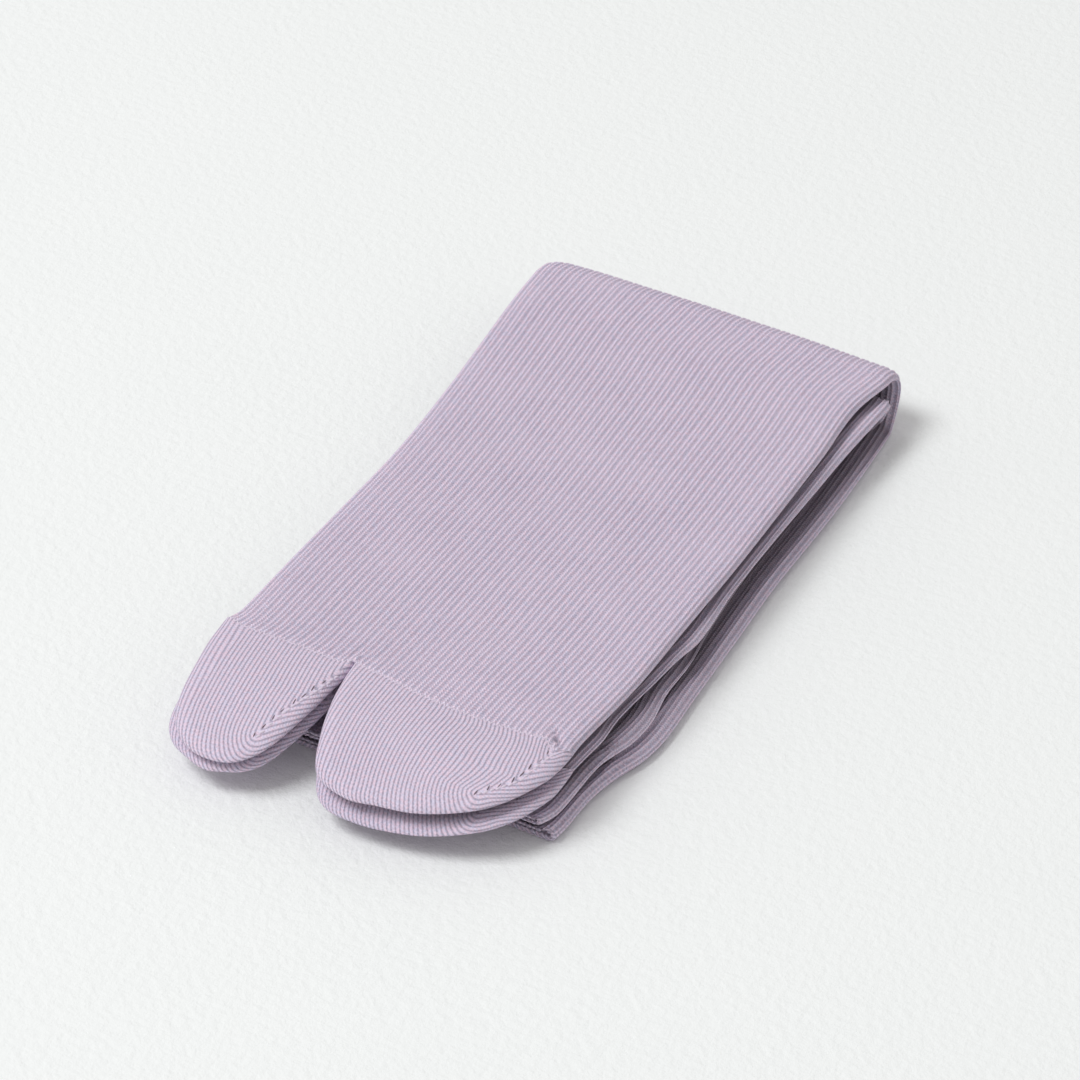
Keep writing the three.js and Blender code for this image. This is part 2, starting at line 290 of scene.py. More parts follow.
def double_wall(name, outer, inner, inner_rows, u, v, relief, painted_shade):
    """A tube open at both ends, as one closed shell. outer is rows x columns x 3, inner uses the rows in
    inner_rows and every third column, u is each column's place in ribs and v each row's in millimetres."""
    rows, columns = outer.shape[:2]
    in_rows, in_columns = inner.shape[:2]
    out_ids = np.arange(rows * columns).reshape(rows, columns)
    in_ids = rows * columns + np.arange(in_rows * in_columns).reshape(in_rows, in_columns)
    quads, r_of, c_of = shell_faces(rows, columns, out_ids)
    back, rb_of, cb_of = shell_faces(in_rows, in_columns, in_ids, flip=True)
    u_open = np.append(u, 2 * RIBS)
    u_back = u_open[np.minimum(cb_of * 3, columns)]
    v_back = v[np.array(inner_rows)][rb_of]
    uv = [np.stack(pair, -1).reshape(-1, 2) for pair in ((u_open[c_of], v[r_of]), (u_back, v_back))]
    faces = quads.tolist() + back.tolist()
    for end, inner_end, first in ((0, 0, True), (rows - 1, in_rows - 1, False)):
        for c in range(in_columns):
            rim = [out_ids[end, (3 * c + k) % columns] for k in range(4)]
            rim += [in_ids[inner_end, (c + 1) % in_columns], in_ids[inner_end, c]]
            faces.append([int(i) for i in (rim if first else rim[::-1])])
            uv.append(np.full((6, 2), [3 * c, v[end]]))
    points = np.concatenate([outer.reshape(-1, 3), inner.reshape(-1, 3)])
    uv = np.concatenate(uv)
    if volume_of(points, faces) < 0:
        starts = np.cumsum([0] + [len(f) for f in faces])
        order = np.concatenate([np.arange(a, b)[::-1] for a, b in zip(starts[:-1], starts[1:])])
        uv = uv[order]
        faces = [f[::-1] for f in faces]
    made = new_mesh_object(name, points, faces)
    layer = made.data.uv_layers.new(name="knit")
    layer.data.foreach_set("uv", uv.astype(np.float32).ravel())
    flat_relief = np.concatenate([relief.ravel(), np.zeros(in_rows * in_columns)])
    float_attribute(made, "relief", flat_relief)
    # painted shade attribute: the lining inside the tube gets full painted shade
    float_attribute(made, "cover_and_painted_shade", np.concatenate([painted_shade.ravel(), np.ones(in_rows * in_columns)]))
    rib_at = np.concatenate([np.tile(u, rows), np.zeros(in_rows * in_columns)])
    float_attribute(made, "rib", rib_at)
    return made


# %% [markdown]
# ## Foot and leg
# The ribbed tube starts at the toe seam and ends at the welt. On the foot its left shoulder falls away
# over a wide round and its right side is tighter. Rows stand close together at the seam and round the
# heel fold, where the cloth bends, and further apart where it lies straight. The fold leans back at its
# top, as one pressed by hand does.
#
# The layers press on each other, so a wall that another layer covers sags by under a millimetre. A
# cloth simulation could find that sag, but tables keep every edge where it really lies. The same test
# marks the wall as tucked in, and its yarn is darkened later, because so little light gets there. By
# the toe seam the cloth gathers in small lumps, with one short dent where the seam is drawn in.


# %% Ribbed tubes
def rows_along(sock):
    """Places of the rows of a ribbed tube."""
    start = SEAM_Y
    fold = sock["fold"]
    turn_end = along_leg(sock, fold)
    end = along_leg(sock, sock["cuff_end"] + CUFF)
    parts = [start + np.array([0, 0.35, 0.75, 1.2, 1.8, 2.6, 3.6, 4.8, 6.2, 7.8, 9.6]),
             np.arange(start + 11.8, fold - 7, 2.6), np.arange(fold - 6.5, fold, 1.1),
             np.linspace(fold, turn_end, 22), np.arange(turn_end + 1.5, end - 1.5, 3.6), [end]]
    return np.concatenate(parts)


def shoulder(sock, station_at, wall, side):
    """How wide the round at one side is."""
    upper = wall > 0
    on_foot = 1 - station_at["share"]
    if side == "left":
        wide = 7.0 if upper else 3.0
        wide = wide if sock["name"] == "outer" else 3.4
    else:
        wide = 3.6 if upper else 4.4
    return wide * on_foot + 3.0 * (1 - on_foot)


SAG = 0.85  # how far a covered wall sinks
LEAST_LIFT = 0.4  # how close to the middle of the tube it may come
FOOT_SLACK, LEG_SLACK = 0.36, 0.5  # how much flatter the lower walls lie, as shares
INNER_LEG_SLACK = 0.35  # and the upper wall of the inner leg
SWELLING = 0.05  # the share that the long swells add
DENT_X, DENT_Y = 36.0, -0.8  # the middle of the dent, the way it runs, and its length, width and depth
DENT_RUN_X, DENT_RUN_Y = 0.886, 0.464
DENT_LONG, DENT_WIDE, DENT_DEEP = 2.5, 0.5, 0.9

# Small places where the cloth gathers beside the toe seam: x, y, spread in x, spread in y, height.
GATHERS = [(39.8, -3.6, 1.6, 2.6, 0.4), (33.6, -3.4, 1.6, 2.0, 0.4),
           (-14.0, -2.4, 0.9, 1.0, 0.5), (-12.4, -0.4, 0.5, 2.4, 0.28), (-10.4, 0.2, 0.5, 2.4, 0.2),
           (-15.6, -0.2, 0.5, 1.8, 0.2), (-45.6, -3.2, 1.6, 1.4, 0.7)]


def pucker(x, y):
    """How far the cloth stands up or dips where it is gathered."""
    total = sum(h * np.exp(-(((x - cx) / sx) ** 2) - ((y - cy) / sy) ** 2) for cx, cy, sx, sy, h in GATHERS)
    return total - DENT_DEEP * dimple(x, y)


def dimple(x, y):
    """The short slanting dent where the seam is drawn in at its right end."""
    along = DENT_RUN_X * (x - DENT_X) - DENT_RUN_Y * (y - DENT_Y)
    aside = DENT_RUN_Y * (x - DENT_X) + DENT_RUN_X * (y - DENT_Y)
    return np.exp(-((along / DENT_LONG) ** 2) - (aside / DENT_WIDE) ** 2)


def groove(distance, x):
    """How much thinner the cloth is beside the toe seam, as a share. It fades out at the right side."""
    return 0.13 * np.exp(-((distance / 0.75) ** 2)) * (1 - smooth(35.5, 38.0, x))


def cover_and_painted_shade_of(sock, at, x, walls):
    """Where a tube lies under the layer above it, and how much painted shade its yarn gets where so little
    light comes.
    """
    y = at["y"][:, None]
    share = at["share"][:, None]
    own = np.minimum(at["right"][:, None] - x, x - at["left"][:, None])
    above = np.full(x.shape, -9.0)  # nothing lies on the outer sock
    if sock["name"] == "inner":
        left, right = covers(OUTER, y)
        above = np.maximum(above, np.minimum(right - x, x - left))
    left, right = covers(INNER, y)
    below_foot = np.minimum(right - x, x - left)
    up = (walls > 0)[None, :]
    on_foot = np.where(up, smooth(-0.9, 0.6, above), 0)
    on_leg = np.where(up, 0, smooth(-0.9, 0.6, below_foot))
    under = on_foot * (1 - share) + on_leg * share
    # painted shade: covered walls, walls facing the floor and walls near the fold get darker yarn
    turning = np.sin(math.pi * share)
    painted_shade_foot = np.where(up, smooth(0.0, 1.7, above), smooth(0.6 + 1.6 * turning, 3.0 + 3 * turning, own))
    facing_floor = smooth(0.6, 3.0, own) if sock["name"] == "inner" else 0 * own
    painted_shade_leg = np.where(up, facing_floor, smooth(1.6 * turning, 1.8 + 3 * turning, below_foot))
    return dict(under=under, painted_shade=painted_shade_foot * (1 - share) + painted_shade_leg * share)


def tube_grid(sock, along, half, walls, ribs, inset=0.0, bend=True):
    """Points of a folded tube, rows along it and columns across both walls, and the painted shade of each."""
    at = station(sock, along)
    x = np.zeros((len(along), len(ribs)))
    lift = np.zeros_like(x)
    for wall in (1, -1):
        mine = walls == wall
        shares = ribs[mine] / RIBS
        if wall < 0:
            shares = 1 - shares
        for i in range(len(along)):
            spot = {k: v[i] for k, v in at.items()}
            rounds = [shoulder(sock, spot, wall, side) * half[i] / HALF for side in ("left", "right")]
            xs, lifts = across_wall(spot["left"] + inset, spot["right"] - inset, half[i], *rounds, shares)
            x[i, mine] = xs
            lift[i, mine] = wall * lifts
    from_seam = (along - SEAM_Y)[:, None]
    lift = lift * (1 - groove(from_seam, x))
    from_edge = np.minimum(at["right"][:, None] - x, x - at["left"][:, None])
    slack_foot = (1 - at["share"])[:, None] * FOOT_SLACK
    slack_leg = at["share"][:, None] * LEG_SLACK * smooth(3.6, 8.0, from_edge)
    outside = (half >= HALF - 0.01)[:, None] * (walls < 0)[None, :]
    lift = lift * (1 - outside * (slack_foot + slack_leg))
    # where the layer above covers this one: its sag, and its painted shade
    cover_and_painted_shade = cover_and_painted_shade_of(sock, at, x, walls)
    sag = cover_and_painted_shade["under"] * SAG * (half >= HALF - 0.8)[:, None]
    height = np.abs(lift)
    sunk = np.maximum(height - sag, LEAST_LIFT)
    lift = np.sign(lift) * np.where(height > LEAST_LIFT, sunk, height)
    if sock["name"] == "inner":
        lift = lift * (1 - INNER_LEG_SLACK * at["share"][:, None] * (walls > 0)[None, :])
    on_foot = (1 - at["share"])[:, None]
    if sock["name"] == "outer":
        soft = swell(x, along[:, None]) * smooth(0, 6, from_seam)
        lift = lift * (1 + SWELLING * soft * on_foot)
    if sock["name"] == "outer" and bend:
        lift = lift + pucker(x, at["y"][:, None]) * on_foot * (walls > 0)[None, :] * smooth(0.37, 1.66, lift)
        # painted shade in the dent where the seam is drawn in
        dent = dimple(x, at["y"][:, None]) * on_foot * (walls > 0)[None, :]
        cover_and_painted_shade["painted_shade"] = np.maximum(cover_and_painted_shade["painted_shade"], 0.8 * smooth(0.25, 1.0, dent))
    y = at["y"][:, None] + lift * at["ny"][:, None]
    z = at["z"][:, None] + lift * at["nz"][:, None]
    if bend:
        near_seam = 1 - smooth(0, 11, along - SEAM_Y)
        y = y + seam_shift(x) * near_seam[:, None]
    return in_metres(x, y, z), cover_and_painted_shade["painted_shade"]


def ribbed_tube(sock):
    """The foot and leg of one sock."""
    along = rows_along(sock)
    walls, ribs = rib_columns(5)
    outer, painted_shade = tube_grid(sock, along, np.full(len(along), HALF), walls, ribs)
    inner_rows = sorted(set(range(0, len(along), 3)) | {len(along) - 1})
    slit = np.full(len(inner_rows), SLIT)
    inner, _ = tube_grid(sock, along[inner_rows], slit, walls[::3], ribs[::3], LINING_INSET)
    u = np.where(walls > 0, ribs, ribs + RIBS)
    v = along - along[0]
    relief = np.ones(outer.shape[:2]) * smooth(0.1, 1.4, v)[:, None]
    made = double_wall(sock["name"] + "_body_knit", outer, inner, inner_rows, u, v, relief, painted_shade)
    return made, outer, along


tubes = {}
seam_rings = {}
for sock in (OUTER, INNER):
    tube, grid, along = ribbed_tube(sock)
    tubes[sock["name"]] = tube
    seam_rings[sock["name"]] = grid[0]
    print(tube.name, len(along), "rows,", len(tube.data.polygons), "faces,",
          round(along[-1] - along[0], 1), "mm long")

# %% [markdown]
# ## Welts
# The top of the leg ends in a welt, a doubled band that holds the sock up. It is an open mouth here, so
# its rows run down the outer face, roll round the lip and come back inside.


# %% Welt rings
def welt(sock):
    """The welt at the top of one leg."""
    start = along_leg(sock, sock["cuff_end"] + CUFF)
    end = along_leg(sock, sock["cuff_end"])
    lip = 0.75
    roll = np.linspace(0, math.pi, 9)[1:-1]
    out_rows = np.concatenate([[start - 0.9, start - 0.3, start + 0.3, start + 1.0],
                               np.arange(start + 1.8, end - lip - 1.2, 1.5), [end - lip]])
    back_rows = np.linspace(end - lip, start, 9)
    along = np.concatenate([out_rows, end - lip + lip * np.sin(roll), back_rows])
    half = np.concatenate([[HALF - 0.3, HALF - 0.12], np.full(len(out_rows) - 2, HALF),
                           HALF - lip + lip * np.cos(roll), np.full(len(back_rows), HALF - 2 * lip)])
    walls, ribs = rib_columns(9)
    painted_shade = np.ones((len(along), len(ribs)))
    points = np.zeros((len(along), len(ribs), 3))
    for i in range(len(along)):
        row, shade = tube_grid(sock, along[i:i + 1], half[i:i + 1], walls, ribs, HALF - half[i], bend=False)
        points[i] = row[0]
        # painted shade on the welt's lip and inside
        painted_shade[i] = shade[0] if i < len(out_rows) else 0.25
    ids = np.arange(points.shape[0] * points.shape[1]).reshape(points.shape[:2])
    looped = np.concatenate([ids, ids[:1]])
    quads, rows_of, columns_of = shell_faces(len(along) + 1, len(ribs), looped)
    flat = points.reshape(-1, 3)
    over = run_of(np.column_stack([along, half]))
    u = np.append(np.where(walls > 0, ribs, ribs + RIBS), 2 * RIBS)
    v = np.append(over, over[-1] + 1.5)
    uv = np.stack([u[columns_of], v[rows_of]], -1)
    if volume_of(flat, quads.tolist()) < 0:
        quads, uv = quads[:, ::-1], uv[:, ::-1]
    made = new_mesh_object(sock["name"] + "_cuff_knit", flat, quads)
    layer = made.data.uv_layers.new(name="knit")
    layer.data.foreach_set("uv", uv.reshape(-1).astype(np.float32))
    shown = np.concatenate([np.ones(len(out_rows)), np.full(len(roll), 0.7), np.zeros(len(back_rows))])
    float_attribute(made, "relief", np.repeat(shown, len(ribs)))
    # painted shade on the welt's inner face
    painted_shade[-len(back_rows):] = 0.7
    float_attribute(made, "cover_and_painted_shade", painted_shade.ravel())
    float_attribute(made, "rib", np.tile(u[:-1], len(along)))
    return made


welts = {sock["name"]: welt(sock) for sock in (OUTER, INNER)}
for made in welts.values():
    print(made.name, len(made.data.polygons), "faces")

# %% [markdown]
# ## Toe pockets
# A toe pocket is plain knit, shaped by narrowing: its outline runs from the seam round the tip and back.
# A grid laid like a fingernail suits it. One direction follows the outline, the other goes from the
# outline in to a short line down the middle, so the rounded front edge is smooth and has no pole.


# %% Pocket grid
def whole_outline(table, tip, count):
    """Points from the left end of the seam, round the tip, to the right end: x and distance forward."""
    rows = np.array(table, float)
    left = np.vstack([rows[:, [1, 0]], tip])
    line = np.vstack([left, rows[::-1, [2, 0]]])
    run = run_of(line)
    with_run = np.column_stack([run, line])
    tip_at = run[len(left) - 1]
    to_tip = np.linspace(0, tip_at, count + 1)
    from_tip = np.linspace(tip_at, run[-1], count + 1)[1:]
    want = np.concatenate([to_tip, from_tip])
    return eased(with_run, 1, want), eased(with_run, 2, want)

# middle is the line that the grid closes on, height the column of the sock's heights. rounds are how wide the
# edge's round is on the top and below, by share of the way round the outline.
POCKETS = {
    "big_toe": dict(middle=[(-30.3, 0), (-30.8, 12), (-31.2, 21.5)], tip=(-31.0, 34.2), height=1,
                    rounds_top=[(0, 7.0), (0.2, 5.0), (0.42, 3.4), (0.6, 3.2), (0.8, 3.0),
                                (0.93, 2.4), (1, 0.6)],
                    rounds_low=[(0, 3.0), (0.3, 4.5), (0.8, 4.5), (0.93, 2.4), (1, 0.6)]),
    "toes": dict(middle=[(13.8, 0), (12.0, 10), (8.0, 18.5)], tip=(4.0, 32.1), height=2,
                 rounds_top=[(0, 0.6), (0.05, 2.0), (0.15, 3.0), (0.4, 3.4), (0.6, 3.4),
                             (0.85, 3.4), (1, 3.6)],
                 rounds_low=[(0, 0.6), (0.05, 2.0), (0.25, 4.5), (1, 4.4)]),
}


def inside_by(x, y, line):
    """How far points lie inside a closed line, negative outside it."""
    start, end = line, np.roll(line, -1, 0)
    px, py = x.ravel()[:, None], y.ravel()[:, None]
    ex, ey = (end - start).T
    t = ((px - start[:, 0]) * ex + (py - start[:, 1]) * ey) / (ex ** 2 + ey ** 2)
    t = np.clip(t, 0, 1)
    away = np.hypot(px - start[:, 0] - t * ex, py - start[:, 1] - t * ey).min(1)
    crossing = (start[:, 1] > py) != (end[:, 1] > py)
    crossing &= px < start[:, 0] + (py - start[:, 1]) * ex / np.where(ey == 0, 1e-9, ey)
    inside = crossing.sum(1) % 2 == 1
    return np.where(inside, away, -away).reshape(x.shape)


def cover_line(kind, table):
    """The outline of the outer sock's pocket, carried back under its foot."""
    x, f = whole_outline(table, POCKETS[kind]["tip"], 40)
    behind = np.array([[x[-1], -30.0], [x[0], -30.0]])
    return np.concatenate([np.column_stack([x, f]), behind])


def pocket_points(sock, kind, table, along_count, level_count, inner=False):
    """Grid of a pocket: along the outline, and across from the upper middle, over the edge, to the
    lower middle. Also the same points unrolled flat, for the knit to follow."""
    shape = POCKETS[kind]
    ox, of = whole_outline(table, shape["tip"], along_count)
    share = np.linspace(0, 1, len(ox))
    down = 1 - np.abs(2 * share - 1)
    middle = np.array(shape["middle"], float)
    down = np.sin(down * math.pi / 2) ** 0.9 * down ** 0.1
    mid_run = run_of(middle)
    mid = np.column_stack([mid_run, middle])
    mx, mf = eased(mid, 1, down * mid_run[-1]), eased(mid, 2, down * mid_run[-1])
    reach = np.hypot(mx - ox, mf - of)
    dx, df = (mx - ox) / reach, (mf - of) / reach
    quarter = np.linspace(0, math.pi / 2, 10)
    level = np.linspace(0, 1, level_count)[1:]
    columns = []
    for wall, rounds_name in ((1, "rounds_top"), (-1, "rounds_low")):
        rounds = eased(shape[rounds_name], 1, share)
        if inner:
            inset = LINING_INSET
            rounds = np.minimum(rounds, 0.8)
        else:
            inset = 0.0
        steps = []
        for a in quarter:
            over = 0.5 * (rounds + HALF) * (math.pi / 2 - a)
            steps.append((inset + rounds * (1 - math.cos(a)), math.sin(a), rounds - over))
        for s in level:
            d = rounds + inset + (reach - rounds - inset) * s
            steps.append((d, 1.0, d))
        steps = steps[::-1] if wall > 0 else steps[1:]
        columns += [(d, wall * rise, flat) for d, rise, flat in steps]
    d = np.stack([np.broadcast_to(c[0], ox.shape) for c in columns], -1)
    rise = np.stack([np.broadcast_to(c[1], ox.shape) for c in columns], -1)
    flat = np.stack([np.broadcast_to(c[2], ox.shape) for c in columns], -1)
    x, f = ox[:, None] + dx[:, None] * d, of[:, None] + df[:, None] * d
    ux, uf = ox[:, None] + dx[:, None] * flat, of[:, None] + df[:, None] * flat
    last = np.array(table, float)[-1, 0]
    thick = (SLIT if inner else HALF) * (1 - 0.3 * np.clip(f / last, 0, 1) ** 3)
    if not inner:
        thick = thick * (1 - groove(f, x))
        lower = np.arange(thick.shape[1]) >= thick.shape[1] // 2
        thick = thick * (1 - (0.36 if sock["name"] == "outer" else 0.25) * lower[None, :])
        thick = thick * (1 + SWELLING * swell(x, -f, 1.0) * smooth(0, 6, f))
    # painted shade: the outer pocket's lower wall, and the inner pocket where the outer one covers it
    painted_shade = np.where(rise < 0, smooth(0.8, 3.5, d), 0) * (sock["name"] == "outer")
    if sock["name"] == "inner" and not inner:
        under = inside_by(x, f, cover_line(kind, OUTER["big_toe"] if kind == "big_toe" else FOUR_TOES))
        opening = smooth(8, 26, x) if kind == "toes" else 0.7 * smooth(-30, -20, x)
        painted_shade = np.where(rise > 0, smooth(0.9, 3.2, under), 0) * (0.2 + 0.6 * opening)
        thick = thick * (1 - 0.36 * opening * smooth(-0.9, 0.9, under) * (rise > 0))
    z = eased(sock["heights"], shape["height"], f) + rise * thick
    if sock["name"] == "outer" and not inner:
        z = z + pucker(x, SEAM_Y - f) * smooth(0.2, 0.9, rise)
    y = SEAM_Y - f + seam_shift(x) * (1 - smooth(0, 9, f))
    return in_metres(x, y, z), ux, uf, painted_shade


def pocket(sock, kind, table, along_count, level_count):
    """One toe pocket, as a closed shell with two walls."""
    outer, ux, uf, painted_shade = pocket_points(sock, kind, table, along_count, level_count)
    inner, iux, iuf, _ = pocket_points(sock, kind, table, along_count // 3, 4, inner=True)
    points, faces, ids = [], [], []
    offset = 0
    for grid, flip in ((outer, False), (inner, True)):
        t, k = grid.shape[:2]
        own = offset + np.arange(t * k).reshape(t, k)
        mirror = np.minimum(np.arange(t), t - 1 - np.arange(t))
        own[:, 0] = own[mirror, 0]
        own[:, -1] = own[mirror, -1]
        a, b = np.meshgrid(np.arange(t - 1), np.arange(k - 1), indexing="ij")
        corners = [own[a, b], own[a + 1, b], own[a + 1, b + 1], own[a, b + 1]]
        faces += np.stack(corners[::-1] if flip else corners, -1).reshape(-1, 4).tolist()
        points.append(grid.reshape(-1, 3))
        ids.append(own)
        offset += t * k
    out_rim, in_rim = (np.concatenate([own[0, :], own[-1, -2:0:-1]]) for own in ids)
    flat = np.concatenate(points)
    placed, placed_in = run_of(flat[out_rim]), run_of(flat[in_rim])
    i, j = 0, 0
    n, m = len(out_rim), len(in_rim)
    halves = [(outer.shape[1] - 1, inner.shape[1] - 1), (n, m)]
    for stop_i, stop_j in halves:
        span_i = placed[min(stop_i, n - 1)] - placed[i] or 1
        span_j = placed_in[min(stop_j, m - 1)] - placed_in[j] or 1
        start_i, start_j = i, j
        while i < stop_i or j < stop_j:
            go_i = (placed[min(i + 1, n - 1)] - placed[start_i]) / span_i if i < stop_i else 9
            go_j = (placed_in[min(j + 1, m - 1)] - placed_in[start_j]) / span_j if j < stop_j else 9
            if go_i <= go_j:
                faces.append([int(out_rim[(i + 1) % n]), int(out_rim[i % n]), int(in_rim[j % m])])
                i += 1
            else:
                faces.append([int(out_rim[i % n]), int(in_rim[j % m]), int(in_rim[(j + 1) % m])])
                j += 1
    used = np.unique(np.concatenate([np.array(f) for f in faces]))
    renumber = np.full(len(flat), -1)
    renumber[used] = np.arange(len(used))
    faces = [[int(renumber[v]) for v in f] for f in faces]
    if volume_of(flat[used], faces) < 0:
        faces = [f[::-1] for f in faces]
    made = new_mesh_object(f"{sock['name']}_{kind}_knit", flat[used], faces)
    spread = [np.stack(pair, -1).reshape(-1, 2) for pair in ((ux, uf), (iux, iuf))]
    unrolled = np.concatenate(spread)[used]
    # painted shade attribute: the pocket's lining gets full painted shade
    float_attribute(made, "cover_and_painted_shade", np.concatenate([painted_shade.ravel(), np.ones(iux.size)])[used])
    pockets_flat[sock["name"], kind] = np.stack([ux, uf], -1)
    return made, unrolled, outer


pockets = {}
pockets_flat = {}
for sock, toes in ((OUTER, FOUR_TOES), (INNER, INNER_TOES)):
    plans = (("big_toe", sock["big_toe"], 78, 26), ("toes", toes, 96, 44))
    for kind, table, along_count, level_count in plans:
        pockets[sock["name"], kind] = pocket(sock, kind, table, along_count, level_count)
        made = pockets[sock["name"], kind][0]
        print(made.name, len(made.data.polygons), "faces")

# %% [markdown]
# ## How the wales of a toe run
# Plain knit shows fine lines, its wales, about a millimetre apart. Down each pocket runs a gore line,
# where wales from both sides meet at a slant, like the veins of a leaf. Beyond its end they turn round
# it in tight curves. The field below gives every point its place across the wales and along them.

# %% Wale field
WALE = 0.98  # width of a wale
LEAN = math.radians(23)  # the angle at which wales meet the gore line
EYELET = WALE / math.sin(LEAN)  # one eyelet for every wale that ends there
GORES = {
    "big_toe": [(-15.0, 3.6), (-17.4, 12.6), (-20.2, 19.7), (-22.3, 26.3)],
    "toes": [(37.2, 1.2), (36.7, 6.1), (34.7, 13.9), (32.3, 17.1), (28.7, 20.9)],
}


def gore_frame(kind, x, forward):
    """Distance along the gore line and to the right of it."""
    line = np.array(GORES[kind], float)
    start, end = line[0], line[-1]
    heading = (end - start) / np.linalg.norm(end - start)
    chord = start[0] + (line[:, 1] - start[1]) * heading[0] / heading[1]
    bulge = np.interp(forward, line[:, 1], line[:, 0] - chord, left=0, right=0)
    near = np.exp(-((x - np.interp(forward, line[:, 1], line[:, 0])) / 13.0) ** 2)
    px, pf = x - bulge * near - start[0], forward - start[1]
    along = px * heading[0] + pf * heading[1]
    aside = px * heading[1] - pf * heading[0]
    return along, aside, float(np.linalg.norm(end - start))


def wale_field(kind, x, forward):
    """Place across the wales, and along them, in millimetres."""
    along, aside, length = gore_frame(kind, x, forward)
    if kind == "toes":
        sway = 0.9 * np.clip(forward, 0, None) / 3.5 * np.exp(1 - np.clip(forward, 0, None) / 3.5)
        aside = aside - sway * smooth(2, 20, x) * (1 - smooth(29, 36, x))
    opening = 0.66 * np.logaddexp(0, (along - length) / 0.8) * 0.8
    spread = np.sqrt(aside ** 2 + opening ** 2 + 0.04)
    return along * math.sin(LEAN) + spread * math.cos(LEAN), along * math.cos(LEAN) - spread * math.sin(LEAN)


for (sock_name, kind), (made, unrolled, outer) in pockets.items():
    across, down = wale_field(kind, unrolled[:, 0], unrolled[:, 1])
    float_attribute(made, "wale", across)
    float_attribute(made, "course", down)
    print(made.name, "wales", round(float(np.ptp(across)) / WALE))

# %% [markdown]
# ## Node helpers
# Every finish below is a small node tree. These helpers add a node, set its sockets and link it, so that
# each material reads as a short recipe.


# %% Node helpers
class Recipe:
    """Adds linked nodes to a tree."""

    def __init__(self, tree):
        self.tree = tree

    def put(self, kind, inputs=None, **settings):
        node = self.tree.nodes.new(kind)
        for name, value in settings.items():
            setattr(node, name, value)
        for key, value in (inputs or {}).items():
            socket = node.inputs[key]
            if isinstance(value, bpy.types.NodeSocket):
                self.tree.links.new(value, socket)
            else:
                socket.default_value = value
        return node

    def sum(self, operation, a, b=0.0, c=0.0):
        return self.put("ShaderNodeMath", {0: a, 1: b, 2: c}, operation=operation).outputs[0]

    def blend(self, factor, a, b):
        node = self.put("ShaderNodeMix", {"Factor": factor}, data_type="RGBA")
        for socket, value in ((node.inputs[6], a), (node.inputs[7], b)):
            if isinstance(value, bpy.types.NodeSocket):
                self.tree.links.new(value, socket)
            else:
                socket.default_value = value
        return node.outputs[2]

    def tint(self, colour, by):
        node = self.put("ShaderNodeMix", {"Factor": 1.0}, data_type="RGBA", blend_type="MULTIPLY")
        self.tree.links.new(colour, node.inputs[6])
        self.tree.links.new(by, node.inputs[7])
        return node.outputs[2]

    def curve(self, value, points):
        node = self.put("ShaderNodeFloatCurve", {"Value": value})
        line = node.mapping.curves[0]
        line.points[0].location = points[0]
        line.points[1].location = points[-1]
        for p in points[1:-1]:
            line.points.new(*p)
        node.mapping.update()
        return node.outputs[0]


# %% [markdown]
# ## Lilac yarn
# Combed cotton with a little stretch: matt, with a soft sheen at a glancing angle. Ridges are a warmer
# pinkish lilac and the valleys between them cooler; ridges and raised stitch legs are also painted lighter
# and valleys darker, a painted highlight and painted shade over the raised relief. The stitches are small
# slanted legs, set in courses about two thirds of a millimetre apart, and the yarn itself is faintly mottled.

# %% Knit materials
# ridge and valley colours of one yarn: painted highlight on the ridges, painted shade in the valleys
RIDGE_HIGHLIGHT = (0.935, 0.815, 0.94, 1)
VALLEY_SHADE = (0.395, 0.35, 0.445, 1)
PLAIN_HIGHLIGHT = (0.82, 0.71, 0.83, 1)
PLAIN_SHADE = (0.40, 0.355, 0.45, 1)
COOL = (0.87, 0.935, 1.0, 1)  # the yarn's cooler flecks, which the colour is multiplied by
WARM = (1.0, 0.905, 0.93, 1)
SHADED = (0.06, 0.042, 0.05, 1)  # painted shade colour, for cloth that is covered or tucked in
COURSE = 0.67  # height of one row of stitches
# How high the knit stands across one rib, and across one wale: share of the way, height.
RIB_PROFILE = [(0, 1.0), (0.05, 0.88), (0.11, 0.45), (0.19, 0.2), (0.27, 0.28), (0.34, 0.55), (0.4, 0.97),
               (0.45, 0.86), (0.51, 0.45), (0.6, 0.16), (0.68, 0.08), (0.78, 0.32), (0.88, 0.42),
               (0.95, 0.76), (1, 1.0)]
WALE_PROFILE = [(0, 0.0), (0.08, 0.12), (0.2, 0.7), (0.32, 0.92), (0.5, 1.0), (0.68, 0.92), (0.8, 0.7),
                (0.92, 0.12), (1, 0.0)]


def knit_material(name):
    """An empty material with its shader set to soft cotton."""
    material = bpy.data.materials.new(name)
    material.use_nodes = True
    tree = material.node_tree
    shader = tree.nodes["Principled BSDF"]
    shader.inputs["Roughness"].default_value = 0.88
    shader.inputs["Specular IOR Level"].default_value = 0.12
    shader.inputs["Sheen Weight"].default_value = 0.22
    shader.inputs["Sheen Roughness"].default_value = 0.45
    shader.inputs["Sheen Tint"].default_value = (0.93, 0.86, 0.96, 1)
    return material, Recipe(tree), shader


def legs_of(recipe, wale, course):
    """The slanted legs of stitches: wale and course are places in whole stitches."""
    half = recipe.sum("ABSOLUTE", recipe.sum("SUBTRACT", recipe.sum("FRACT", wale), 0.5))
    leaning = recipe.sum("ADD", half, course)
    wave = recipe.sum("SINE", recipe.sum("MULTIPLY", leaning, 2 * math.pi))
    return recipe.sum("MULTIPLY_ADD", wave, 0.5, 0.5)


def mottle(recipe, scale, detail=3.0, shift=0.0):
    """Soft variation of the yarn."""
    place = recipe.put("ShaderNodeTexCoord").outputs["Object"]
    place = recipe.put("ShaderNodeVectorMath", {0: place, 1: (shift, 0.0, 0.0)}, operation="ADD").outputs[0]
    grain = {"Vector": place, "Scale": scale, "Detail": detail, "Roughness": 0.6}
    return recipe.put("ShaderNodeTexNoise", grain).outputs[0]


